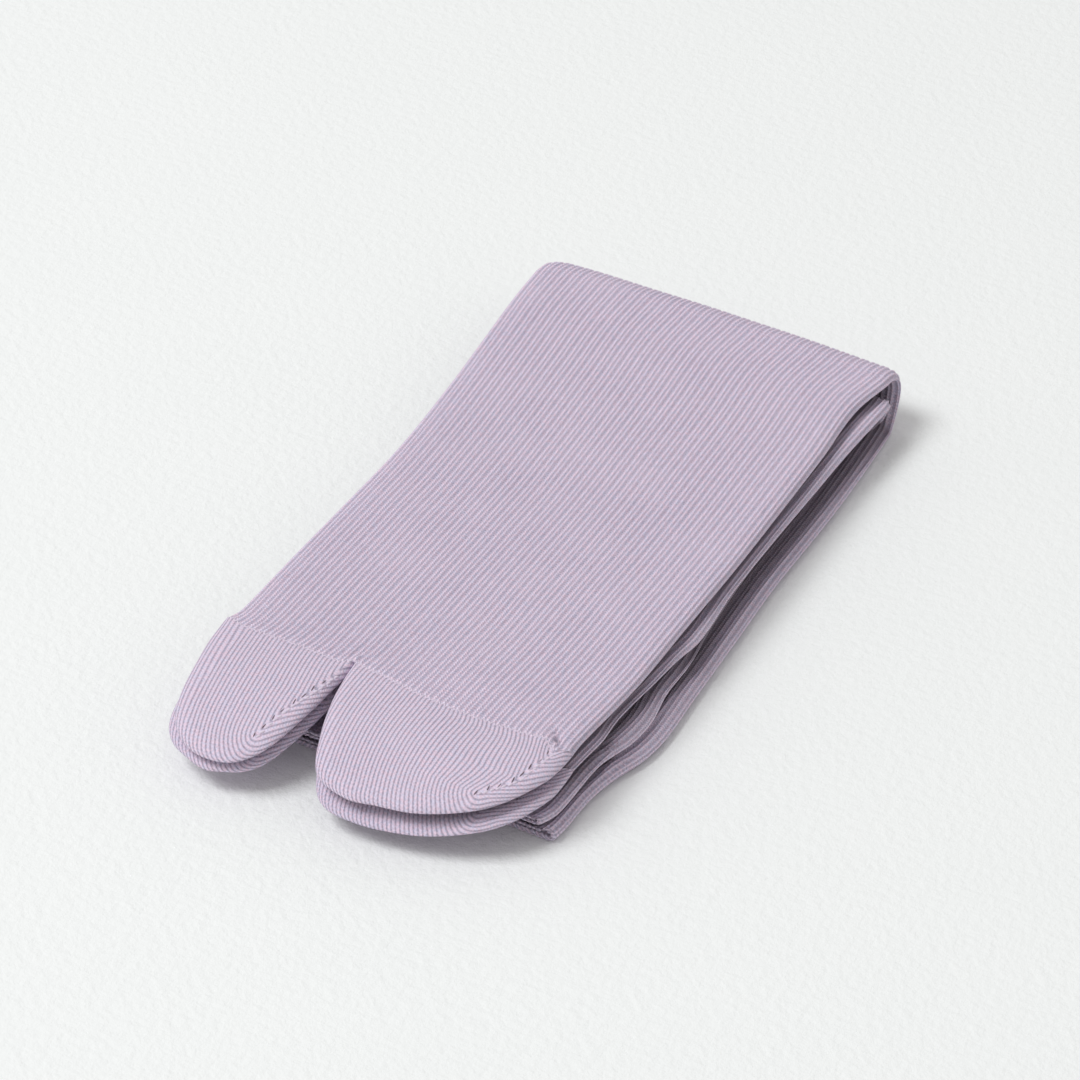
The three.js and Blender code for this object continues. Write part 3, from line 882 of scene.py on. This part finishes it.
def finish_knit(recipe, shader, height, ridge, legs, depth, low=VALLEY_SHADE, high=RIDGE_HIGHLIGHT):
    """Colour and bump from the knit's own relief: painted highlight on ridges and stitch legs, painted shade
    in valleys and on covered cloth, and random mottling.
    """
    yarn = mottle(recipe, 2600.0)
    tuft = mottle(recipe, 1500.0, 2.0, 5.0)
    cloud = mottle(recipe, 60.0, 4.0)
    # painted highlight and painted shade: ridges and stitch legs lighter, valleys darker
    painted_light_share = recipe.sum("MULTIPLY_ADD", legs, 0.2, recipe.sum("MULTIPLY", ridge, 0.8))
    speck = recipe.put("ShaderNodeMapRange", {"Value": yarn, 1: 0.35, 2: 0.65, 3: -0.22, 4: 0.22}).outputs[0]
    colour = recipe.blend(recipe.sum("ADD", painted_light_share, speck), low, high)
    fleck = recipe.put("ShaderNodeMapRange", {"Value": tuft, 1: 0.38, 2: 0.62, 3: 0.0, 4: 1.0}).outputs[0]
    colour = recipe.tint(colour, recipe.blend(fleck, COOL, WARM))
    drift = recipe.put("ShaderNodeMapRange", {"Value": cloud, 1: 0.3, 2: 0.7, 3: 0.0, 4: 0.12}).outputs[0]
    colour = recipe.blend(drift, colour, high)
    # painted shade: the yarn is darkened toward SHADED where the cloth is covered or tucked in
    cover_and_painted_shade = recipe.put("ShaderNodeAttribute", attribute_name="cover_and_painted_shade").outputs["Fac"]
    colour = recipe.blend(recipe.sum("MULTIPLY", cover_and_painted_shade, 0.6), colour, SHADED)
    shape = recipe.sum("MULTIPLY_ADD", yarn, 0.5, height)
    bump = recipe.put("ShaderNodeBump", {"Height": shape, "Strength": 0.75, "Distance": depth})
    recipe.tree.links.new(bump.outputs[0], shader.inputs["Normal"])
    return colour


def rib_knit():
    material, recipe, shader = knit_material("rib knit")
    place = recipe.put("ShaderNodeUVMap", uv_map="knit").outputs[0]
    u, v, _ = recipe.put("ShaderNodeSeparateXYZ", {0: place}).outputs
    ridge = recipe.curve(recipe.sum("FRACT", u), RIB_PROFILE)
    wale = recipe.sum("MULTIPLY_ADD", u, 3.0, 0.5)
    legs = legs_of(recipe, wale, recipe.sum("DIVIDE", v, COURSE))
    height = recipe.sum("MULTIPLY", legs, 0.8)
    colour = finish_knit(recipe, shader, height, ridge, legs, 0.00016)
    recipe.tree.links.new(colour, shader.inputs["Base Color"])
    return material


def plain_knit():
    material, recipe, shader = knit_material("plain knit")
    read = {}
    for name in ("wale", "course"):
        read[name] = recipe.put("ShaderNodeAttribute", attribute_name=name).outputs["Fac"]
    wale = recipe.sum("DIVIDE", read["wale"], WALE)
    ridge = recipe.curve(recipe.sum("FRACT", wale), WALE_PROFILE)
    legs = legs_of(recipe, wale, recipe.sum("DIVIDE", read["course"], COURSE))
    height = recipe.sum("MULTIPLY_ADD", ridge, 1.3, recipe.sum("MULTIPLY", legs, 0.6))
    colour = finish_knit(recipe, shader, height, ridge, legs, 0.00016, PLAIN_SHADE, PLAIN_HIGHLIGHT)
    recipe.tree.links.new(colour, shader.inputs["Base Color"])
    return material


def welt_knit():
    material, recipe, shader = knit_material("welt knit")
    place = recipe.put("ShaderNodeUVMap", uv_map="knit").outputs[0]
    u, v, _ = recipe.put("ShaderNodeSeparateXYZ", {0: place}).outputs
    ridge = recipe.curve(recipe.sum("FRACT", u), RIB_PROFILE)
    rung = recipe.sum("SINE", recipe.sum("MULTIPLY", v, 2 * math.pi / 1.15))
    legs = recipe.sum("MULTIPLY_ADD", rung, 0.5, 0.5)
    height = recipe.sum("MULTIPLY", legs, 1.2)
    colour = finish_knit(recipe, shader, height, ridge, legs, 0.00022)
    recipe.tree.links.new(colour, shader.inputs["Base Color"])
    return material


def seam_thread():
    material, recipe, shader = knit_material("seam thread")
    yarn = mottle(recipe, 3000.0)
    colour = recipe.blend(yarn, (0.60, 0.53, 0.645, 1), (0.87, 0.78, 0.885, 1))
    recipe.tree.links.new(colour, shader.inputs["Base Color"])
    return material


def eyelet_shade():
    # near-black beads: painted shade for the inside of the eyelet holes
    material, recipe, shader = knit_material("eyelet shade")
    colour = recipe.blend(mottle(recipe, 3000.0), (0.07, 0.05, 0.06, 1), (0.24, 0.18, 0.21, 1))
    recipe.tree.links.new(colour, shader.inputs["Base Color"])
    return material


FINISH = {"rib": rib_knit(), "plain": plain_knit(), "welt": welt_knit(), "thread": seam_thread(),
          "eyelet": eyelet_shade()}
print("finishes", [m.name for m in FINISH.values()])

# %% [markdown]
# ## Raising the ribs
# A rib is the same small hill and valley, seventy-two times round the tube and along all of it. Geometry
# Nodes push every point in or out by the rib profile, read at its place within its rib. Shaping the mesh
# rather than the shading gives the ribs a true outline where they turn over the fold and the sides.


# %% Rib relief tree
def socket_of(tree, name):
    """The identifier of a named input."""
    return next(s.identifier for s in tree.interface.items_tree if s.name == name and s.in_out == "INPUT")


def new_tree(name, inputs):
    """A geometry tree with named inputs and one geometry output."""
    tree = bpy.data.node_groups.new(name, "GeometryNodeTree")
    tree.interface.new_socket("Geometry", in_out="INPUT", socket_type="NodeSocketGeometry")
    for label, kind in inputs:
        tree.interface.new_socket(label, in_out="INPUT", socket_type=kind)
    tree.interface.new_socket("Geometry", in_out="OUTPUT", socket_type="NodeSocketGeometry")
    return tree, Recipe(tree)


def rib_relief_tree():
    tree, recipe = new_tree("rib relief", [("Height", "NodeSocketFloat"), ("Finish", "NodeSocketMaterial")])
    given = recipe.put("NodeGroupInput").outputs
    rib = recipe.put("GeometryNodeInputNamedAttribute", {"Name": "rib"}, data_type="FLOAT").outputs[0]
    relief = recipe.put("GeometryNodeInputNamedAttribute", {"Name": "relief"}, data_type="FLOAT").outputs[0]
    profile = recipe.curve(recipe.sum("FRACT", rib), RIB_PROFILE)
    push = recipe.sum("MULTIPLY", recipe.sum("SUBTRACT", profile, 1.0), relief)
    push = recipe.sum("MULTIPLY", push, given["Height"])
    normal = recipe.put("GeometryNodeInputNormal").outputs[0]
    offset = recipe.put("ShaderNodeVectorMath", {0: normal, "Scale": push}, operation="SCALE").outputs[0]
    moved = recipe.put("GeometryNodeSetPosition", {"Geometry": given["Geometry"], "Offset": offset}).outputs[0]
    real = recipe.put("GeometryNodeRealizeInstances", {0: moved}).outputs[0]
    done = recipe.put("GeometryNodeSetMaterial", {"Geometry": real, "Material": given["Finish"]}).outputs[0]
    recipe.put("NodeGroupOutput", {0: done})
    return tree


def applied(made, tree, values):
    """Runs a geometry tree on an object and keeps the result as its plain mesh."""
    modifier = made.modifiers.new(tree.name, "NODES")
    modifier.node_group = tree
    for name, value in values.items():
        modifier[socket_of(tree, name)] = value
    ready = made.evaluated_get(bpy.context.evaluated_depsgraph_get())
    plain = bpy.data.meshes.new_from_object(ready)
    made.modifiers.remove(modifier)
    made.data = plain
    return made


RIB_TREE = rib_relief_tree()
for name, tube in tubes.items():
    applied(tube, RIB_TREE, {"Height": 0.00042, "Finish": FINISH["rib"]})
    print(tube.name, len(tube.data.polygons), "faces after the ribs were raised")
for name, band in welts.items():
    applied(band, RIB_TREE, {"Height": 0.00042, "Finish": FINISH["welt"]})
for made, _, _ in pockets.values():
    made.data.materials.append(FINISH["plain"])

# %% [markdown]
# ## Linking seam
# The toes are linked to the foot stitch by stitch with a slightly cooler thread. It shows as a fine row
# of short stitches that lean left and right in turn. A tree instances one small bead along a line that
# carries the direction of the cloth's face, then makes the copies real.


# %% Stitch tree
def stitch_tree():
    tree, recipe = new_tree("stitch row", [
        ("Spacing", "NodeSocketFloat"), ("Length", "NodeSocketFloat"), ("Width", "NodeSocketFloat"),
        ("Lean", "NodeSocketFloat"), ("Zigzag", "NodeSocketFloat"), ("Unevenness", "NodeSocketFloat"),
        ("Seed", "NodeSocketInt"), ("Finish", "NodeSocketMaterial")])
    given = recipe.put("NodeGroupInput").outputs
    line = recipe.put("GeometryNodeMeshToCurve", {"Mesh": given["Geometry"]}).outputs[0]
    spaced = {"Curve": line, "Length": given["Spacing"]}
    row = recipe.put("GeometryNodeResampleCurve", spaced, mode="LENGTH").outputs[0]
    bead = recipe.put("GeometryNodeMeshUVSphere", {"Segments": 6, "Rings": 5, "Radius": 0.5}).outputs[0]
    read = {}
    for name in ("heading", "facing"):
        node = recipe.put("GeometryNodeInputNamedAttribute", {"Name": name}, data_type="FLOAT_VECTOR")
        read[name] = node.outputs[0]
    turn = recipe.put("FunctionNodeAlignRotationToVector", {"Vector": read["facing"]}, axis="Z").outputs[0]
    turned = {"Rotation": turn, "Vector": read["heading"]}
    turn = recipe.put("FunctionNodeAlignRotationToVector", turned, axis="X", pivot_axis="Z").outputs[0]
    number = recipe.put("GeometryNodeInputIndex").outputs[0]
    every_other = recipe.sum("MULTIPLY", recipe.sum("MODULO", number, 2.0), given["Zigzag"])
    side = recipe.sum("MULTIPLY_ADD", every_other, -2.0, 1.0)
    between = {2: 0.7, 3: 1.3, "Seed": given["Seed"]}
    chance = recipe.put("FunctionNodeRandomValue", between, data_type="FLOAT").outputs[1]
    lean = recipe.sum("MULTIPLY", recipe.sum("MULTIPLY", side, given["Lean"]), chance)
    swing = recipe.put("ShaderNodeCombineXYZ", {2: lean}).outputs[0]
    turn = recipe.put("FunctionNodeRotateRotation", {0: turn, 1: swing}, rotation_space="LOCAL").outputs[0]
    scales = {0: given["Length"], 1: given["Width"], 2: given["Width"]}
    size = recipe.put("ShaderNodeCombineXYZ", scales).outputs[0]
    around = {0: (-1.0, -1.0, -0.4), 1: (1.0, 1.0, 0.4), "Seed": given["Seed"]}
    shift = recipe.put("FunctionNodeRandomValue", around, data_type="FLOAT_VECTOR").outputs[0]
    amount = {0: shift, "Scale": given["Unevenness"]}
    shift = recipe.put("ShaderNodeVectorMath", amount, operation="SCALE").outputs[0]
    row = recipe.put("GeometryNodeSetPosition", {"Geometry": row, "Offset": shift}).outputs[0]
    beads = {"Points": row, "Instance": bead, "Rotation": turn, "Scale": size}
    copies = recipe.put("GeometryNodeInstanceOnPoints", beads).outputs[0]
    real = recipe.put("GeometryNodeRealizeInstances", {0: copies}).outputs[0]
    soft = recipe.put("GeometryNodeSetShadeSmooth", {"Geometry": real}).outputs[0]
    done = recipe.put("GeometryNodeSetMaterial", {"Geometry": soft, "Material": given["Finish"]}).outputs[0]
    recipe.put("NodeGroupOutput", {0: done})
    return tree


STITCHES = stitch_tree()


def stitch_row(name, points, facing, heading=None, **values):
    """Stitches along a line of points in metres, each with the direction the cloth faces, and the
    direction that the stitches run if it isn't along the line."""
    mesh = bpy.data.meshes.new(name)
    mesh.from_pydata([tuple(p) for p in points], [(i, i + 1) for i in range(len(points) - 1)], [])
    heading = np.gradient(points, axis=0) if heading is None else heading
    for label, vectors in (("facing", facing), ("heading", heading)):
        layer = mesh.attributes.new(label, "FLOAT_VECTOR", "POINT")
        vectors = vectors / np.linalg.norm(vectors, axis=1)[:, None]
        layer.data.foreach_set("vector", np.asarray(vectors, np.float32).ravel())
    made = bpy.data.objects.new(name, mesh)
    bpy.context.scene.collection.objects.link(made)
    applied(made, STITCHES, values)
    return made


def facing_of(ring):
    """Outward direction at each point of a ring that lies across the sock."""
    step = np.roll(ring, -1, 0) - np.roll(ring, 1, 0)
    out = np.cross(step, np.array([0.0, 1.0, 0.0]))
    out /= np.linalg.norm(out, axis=1)[:, None] + 1e-12
    middle = ring.mean(0)
    if ((ring - middle) * out).sum() < 0:
        out = -out
    return out


SEAM_SHOWS_TO = 0.0375  # on top, the stitches stop here, where the seam is drawn in
seams = {}
for sock in (OUTER, INNER):
    ring = seam_rings[sock["name"]][::3]
    out = facing_of(ring)
    near = (ring[:, 0] < SEAM_SHOWS_TO) | (out[:, 2] < 0)
    last = int(np.argmin(near)) if not near.all() else len(ring)
    ring, out = ring[:last], out[:last]
    line = ring + out * 0.00002
    made = stitch_row(sock["name"] + "_seam_stitches", line, out, Spacing=0.00061, Length=0.00105,
                      Width=0.00034, Lean=0.8, Zigzag=1.0, Unevenness=0.00005, Seed=4, Finish=FINISH["thread"])
    seams[sock["name"]] = made
    print(made.name, len(made.data.polygons), "faces")

# %% [markdown]
# ## Gore line
# Beside each eyelet the yarn that was narrowed away stands up as a small bright bar. The bars follow the
# gore line over the pocket, so the same tree lays them along points found on the cloth. The eyelets
# themselves are small dark beads, painted shade for the inside of each hole.

# %% Eyelets and bars
def on_pocket(sock_name, kind, offset):
    """Points on the upper wall of a pocket along its gore line, moved aside by an offset."""
    outer = pockets[sock_name, kind][2]
    flat = pockets_flat[sock_name, kind]
    upper = slice(0, outer.shape[1] // 2)
    points, flat = outer[:, upper].reshape(-1, 3), flat[:, upper].reshape(-1, 2)
    line = np.array(GORES[kind], float)
    steps = np.linspace(line[0, 1], line[-1, 1], 60)
    want = np.column_stack([np.interp(steps, line[:, 1], line[:, 0]) + offset, steps])
    found = []
    for spot in want:
        away = np.hypot(*(flat - spot).T)
        near = np.argsort(away)[:5]
        weight = 1 / (away[near] + 0.05)
        found.append((points[near] * weight[:, None]).sum(0) / weight.sum())
    found = np.array(found)
    for _ in range(4):
        found[1:-1] = (found[:-2] + found[1:-1] * 2 + found[2:]) / 4
    return found


gore_work = {}
for kind, leans, tilt in (("big_toe", -0.03, 0.1), ("toes", 0.02, 0.3)):
    holes_at = on_pocket("outer", kind, -0.35)[4:]
    bars_at = on_pocket("outer", kind, 0.5)[4:]
    count = len(holes_at)
    up = np.tile([tilt, -0.15, 1.0], (count, 1))
    steep = np.tile([leans, -1.0, 0.0], (count, 1))
    sunk = holes_at - np.array([0, 0, 0.00006])
    # dark beads of painted shade where the eyelet holes are
    holes = stitch_row(f"outer_{kind}_eyelets", sunk, up, steep, Spacing=EYELET / 1000, Length=0.00195,
                       Width=0.00034, Lean=0.12, Zigzag=1.0, Unevenness=0.00018, Seed=5,
                       Finish=FINISH["eyelet"])
    slanted = np.tile([leans - 0.75, -1.0, 0.0], (count, 1))
    bars = stitch_row(f"outer_{kind}_bars", bars_at, up, slanted, Spacing=EYELET / 2000, Length=0.00125,
                      Width=0.00060, Lean=0.0, Zigzag=0.0, Unevenness=0.00012, Seed=9, Finish=FINISH["thread"])
    gore_work[kind] = [holes, bars]
    print(kind, "gore", len(holes.data.polygons), "and", len(bars.data.polygons), "faces")

# %% [markdown]
# ## Putting the pieces in place
# Each knitted piece stands for its node in the frame and rides on the one body, and that node's own part
# is hidden. The cloth of each pocket and welt is printed as half the surface of its shell.


# %% Ride and replace
def hand_in(made, node):
    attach(made, "root")
    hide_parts(node)


def cloth_area(made):
    """Half the surface of a closed shell, in square metres."""
    return sum(p.area for p in made.data.polygons) / 2


for sock in (OUTER, INNER):
    name = sock["name"]
    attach(seams[name], "root")
    hand_in(tubes[name], name + "_body")
    hand_in(welts[name], name + "_cuff")
    hand_in(pockets[name, "big_toe"][0], name + "_big_toe")
    hand_in(pockets[name, "toes"][0], name + "_toes")
    for kind in ("big_toe", "toes"):
        for made in gore_work[kind] if name == "outer" else []:
            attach(made, "root")
        print(name, kind, "cloth", round(cloth_area(pockets[name, kind][0]), 5))
    print(name, "cuff cloth", round(cloth_area(welts[name]), 5))

# %% [markdown]
# ## Floor, light and camera
# The pair lies on a pale matt surface with a faint grain. One broad lamp, high on the left and a little
# to the front, shines over a bright surround, so shadows are short and soft and fall to the right. A
# small lamp or a dark surround would turn the gaps between the layers black. The camera looks down from
# the front right with a long lens, so the far end hardly looks smaller.

# %% Floor
floor_mesh = bpy.data.meshes.new("floor")
floor_mesh.from_pydata([(-4, -4, 0), (4, -4, 0), (4, 4, 0), (-4, 4, 0)], [], [(0, 1, 2, 3)])
floor = bpy.data.objects.new("floor", floor_mesh)
bpy.context.scene.collection.objects.link(floor)
plaster = bpy.data.materials.new("pale plaster")
plaster.use_nodes = True
recipe = Recipe(plaster.node_tree)
surface = plaster.node_tree.nodes["Principled BSDF"]
surface.inputs["Roughness"].default_value = 0.8
surface.inputs["Specular IOR Level"].default_value = 0.2
grain = mottle(recipe, 420.0, 5.0)
tint = recipe.blend(mottle(recipe, 25.0), (0.885, 0.905, 0.905, 1), (0.905, 0.92, 0.92, 1))
plaster.node_tree.links.new(tint, surface.inputs["Base Color"])
bumps = recipe.put("ShaderNodeBump", {"Height": grain, "Strength": 0.5, "Distance": 0.0009})
plaster.node_tree.links.new(bumps.outputs[0], surface.inputs["Normal"])
floor_mesh.materials.append(plaster)

# %% Light
world = bpy.data.worlds.new("surround")
world.use_nodes = True
world.node_tree.nodes["Background"].inputs["Color"].default_value = (1.0, 0.985, 0.965, 1)
world.node_tree.nodes["Background"].inputs["Strength"].default_value = 0.53
bpy.context.scene.world = world
bpy.context.scene.view_settings.view_transform = "Standard"


def soft_light(name, place, aim, size, power, colour=(1, 1, 1)):
    """A square lamp that faces a point."""
    lamp = bpy.data.lights.new(name, "AREA")
    lamp.size = size
    lamp.energy = power
    lamp.color = colour
    made = bpy.data.objects.new(name, lamp)
    made.location = place
    toward = np.array(aim, float) - np.array(place, float)
    made.rotation_euler = Vector(toward).to_track_quat("-Z", "Y").to_euler()
    bpy.context.scene.collection.objects.link(made)
    return made


soft_light("key", (-1.35, -1.15, 2.8), (0, 0, 0), 1.5, 65.0, (0.985, 0.995, 1.0))

# %% Camera
view = bpy.data.cameras.new("view")
view.lens = 160
view.sensor_width = 36
camera = bpy.data.objects.new("view", view)
camera.location = (0.38425, -0.75864, 0.64048)
aim = np.array([0.001985, -0.00778, 0.017]) - np.array(camera.location)
camera.rotation_euler = Vector(aim).to_track_quat("-Z", "Y").to_euler()
bpy.context.scene.collection.objects.link(camera)
bpy.context.scene.camera = camera
